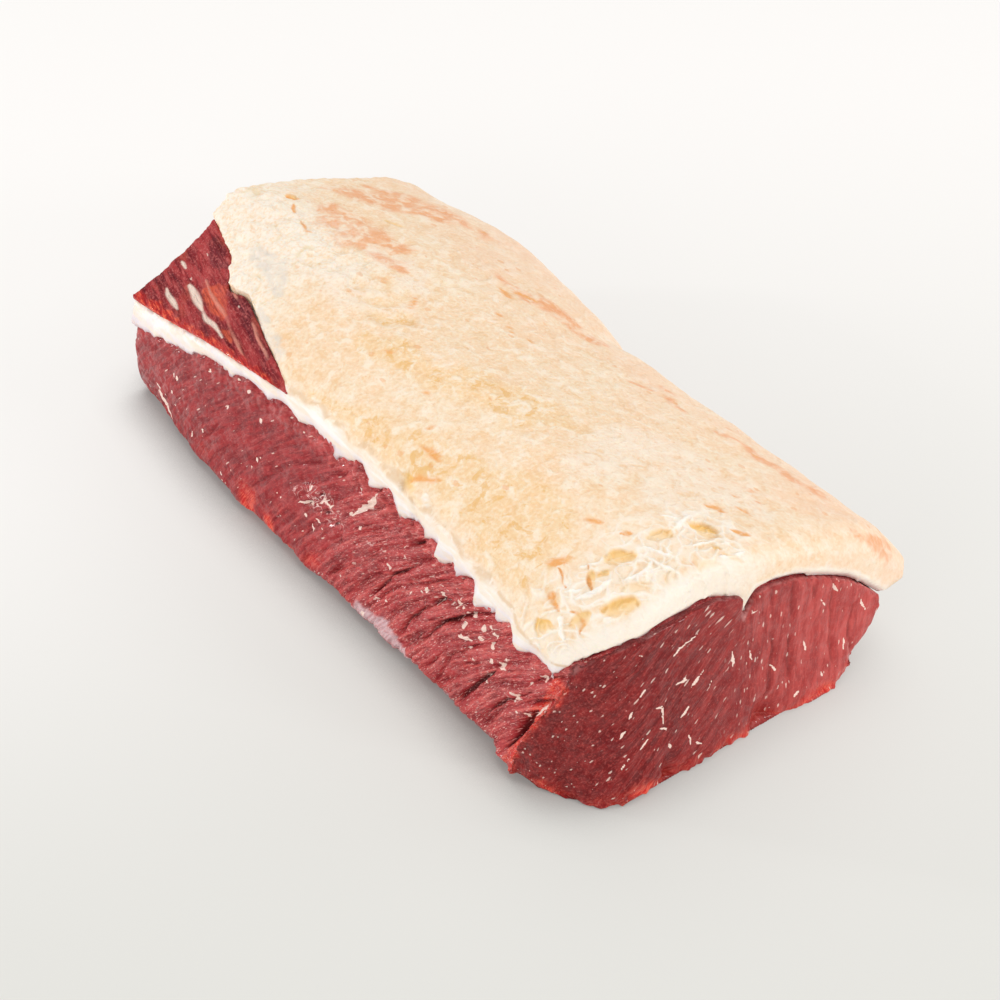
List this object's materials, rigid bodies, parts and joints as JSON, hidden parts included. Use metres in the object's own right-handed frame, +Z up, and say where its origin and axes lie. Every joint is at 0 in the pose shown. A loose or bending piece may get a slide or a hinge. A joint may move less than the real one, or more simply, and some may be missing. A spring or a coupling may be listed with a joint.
{
  "type": "raw beef sirloin",
  "caption": "Whole raw boneless beef sirloin lying fat side up: a long lean loin under a wrapping cap of fat, with a thin second muscle showing through the fat at one end.",
  "frame": {"origin": "on the board, under the middle of the whole cut", "axes": "+X along the loin towards the sirloin end, the cut face with two muscles; -Y towards the trimmed lean side; +Z up, the fat side"},
  "size_m": [0.379, 0.2058, 0.0994],
  "materials": {
    "lean": "moist raw lean beef with fine marbling, satin",
    "fat": "waxy cream beef fat, uneven and matte",
    "cap_lean": "darker raw lean beef with bright red rims, satin"
  },
  "bodies": {
    "root": {"loin": "lean", "fat_cap": "fat", "cap_muscle": "cap_lean"}
  },
  "joints": []
}
